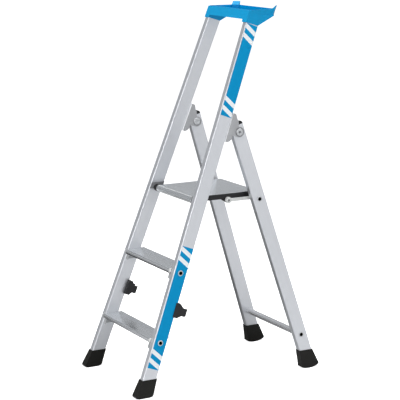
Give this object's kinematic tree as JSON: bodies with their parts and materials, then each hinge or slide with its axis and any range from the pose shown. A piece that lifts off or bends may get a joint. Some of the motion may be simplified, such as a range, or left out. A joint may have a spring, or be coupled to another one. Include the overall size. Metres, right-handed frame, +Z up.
{
  "type": "step ladder",
  "caption": "Folding aluminium step ladder with flat treads, a hinged standing platform, linked rear legs and a moulded tool tray on top",
  "frame": {"origin": "on the floor, in the middle of the footprint of the opened ladder", "axes": "+Z up, +X across the ladder to the right of a person climbing it, +Y from the climbing side to the rear legs"},
  "size_m": [0.448, 0.762, 1.3245],
  "materials": {
    "aluminium": "satin extruded aluminium",
    "tread_aluminium": "finely ribbed extruded aluminium",
    "cast_aluminium": "matt die-cast aluminium",
    "rivet_steel": "zinc-plated",
    "link_grey": "light grey powder coat",
    "black_plastic": "moulded, satin",
    "foot_rubber": "moulded, matt",
    "grey_plastic": "moulded, satin",
    "dark_grey_plastic": "moulded, satin",
    "blue_plastic": "moulded, glossy",
    "label_film": "printed film, plain bands without text"
  },
  "bodies": {
    "front_frame": {"front_stile_right": "aluminium", "front_stile_left": "aluminium", "front_foot_right": "foot_rubber", "front_foot_left": "foot_rubber", "tread_lower": "tread_aluminium", "tread_lower_rivet_right": "rivet_steel", "tread_lower_rivet_left": "rivet_steel", "tread_lower_shoe_right": "grey_plastic", "tread_lower_shoe_left": "grey_plastic", "tread_upper": "tread_aluminium", "tread_upper_rivet_right": "rivet_steel", "tread_upper_rivet_left": "rivet_steel", "tread_upper_shoe_right": "grey_plastic", "tread_upper_shoe_left": "grey_plastic", "label_lower_right": "label_film", "label_lower_left": "label_film", "label_upper_right": "label_film", "label_upper_left": "label_film", "hinge_bracket_right": "cast_aluminium", "hinge_bracket_left": "cast_aluminium", "hinge_bracket_rivet_1_right": "rivet_steel", "hinge_bracket_rivet_1_left": "rivet_steel", "hinge_bracket_rivet_2_right": "rivet_steel", "hinge_bracket_rivet_2_left": "rivet_steel", "hinge_pin_right": "cast_aluminium", "hinge_pin_left": "cast_aluminium", "transport_clip_right": "black_plastic", "transport_clip_left": "black_plastic", "transport_clip_rivet_right": "rivet_steel", "transport_clip_rivet_left": "rivet_steel", "platform_bearing_right": "dark_grey_plastic", "platform_bearing_left": "dark_grey_plastic", "platform_bush_right": "black_plastic", "platform_bush_left": "black_plastic", "platform_pivot_pin_right": "rivet_steel", "platform_pivot_pin_left": "rivet_steel", "top_tray": "blue_plastic", "tray_screw_right": "rivet_steel", "tray_screw_left": "rivet_steel"},
    "rear_frame": {"rear_leg_right": "aluminium", "rear_leg_left": "aluminium", "rear_leg_plug_right": "black_plastic", "rear_leg_plug_left": "black_plastic", "rear_foot_right": "foot_rubber", "rear_foot_left": "foot_rubber", "upper_cross_tube": "aluminium", "lower_brace": "aluminium", "cross_tube_rivet_right": "rivet_steel", "cross_tube_rivet_left": "rivet_steel", "brace_rivet_right": "rivet_steel", "brace_rivet_left": "rivet_steel"},
    "platform": {"platform_deck": "tread_aluminium", "platform_cap_right": "black_plastic", "platform_cap_left": "black_plastic"},
    "link_right": {"link_right": "link_grey", "link_pin_right": "rivet_steel"},
    "link_left": {"link_left": "link_grey", "link_pin_left": "rivet_steel"}
  },
  "joints": [
    {"name": "fold", "type": "hinge", "parent": "front_frame", "child": "rear_frame", "pos_m": [0, 0.05873, 0.8916], "axis": [-1, 0, 0], "range_deg": [0, 38.4]},
    {"name": "platform_tilt", "type": "hinge", "parent": "front_frame", "child": "platform", "pos_m": [0, -0.1025, 0.6575], "axis": [1, 0, 0], "range_deg": [0, 52.1]},
    {"name": "link_right_pivot", "type": "hinge", "parent": "rear_frame", "child": "link_right", "pos_m": [0.14, 0.13847, 0.647], "axis": [-1, 0, 0], "range_deg": [0, 61.8]},
    {"name": "link_left_pivot", "type": "hinge", "parent": "rear_frame", "child": "link_left", "pos_m": [-0.14, 0.13847, 0.647], "axis": [-1, 0, 0], "range_deg": [0, 61.8]}
  ],
  "couplings": [
    {"joint": "platform_tilt", "follows": "fold", "ratio": 1.3538},
    {"joint": "link_right_pivot", "follows": "fold", "ratio": 1.6047},
    {"joint": "link_left_pivot", "follows": "fold", "ratio": 1.6047}
  ]
}
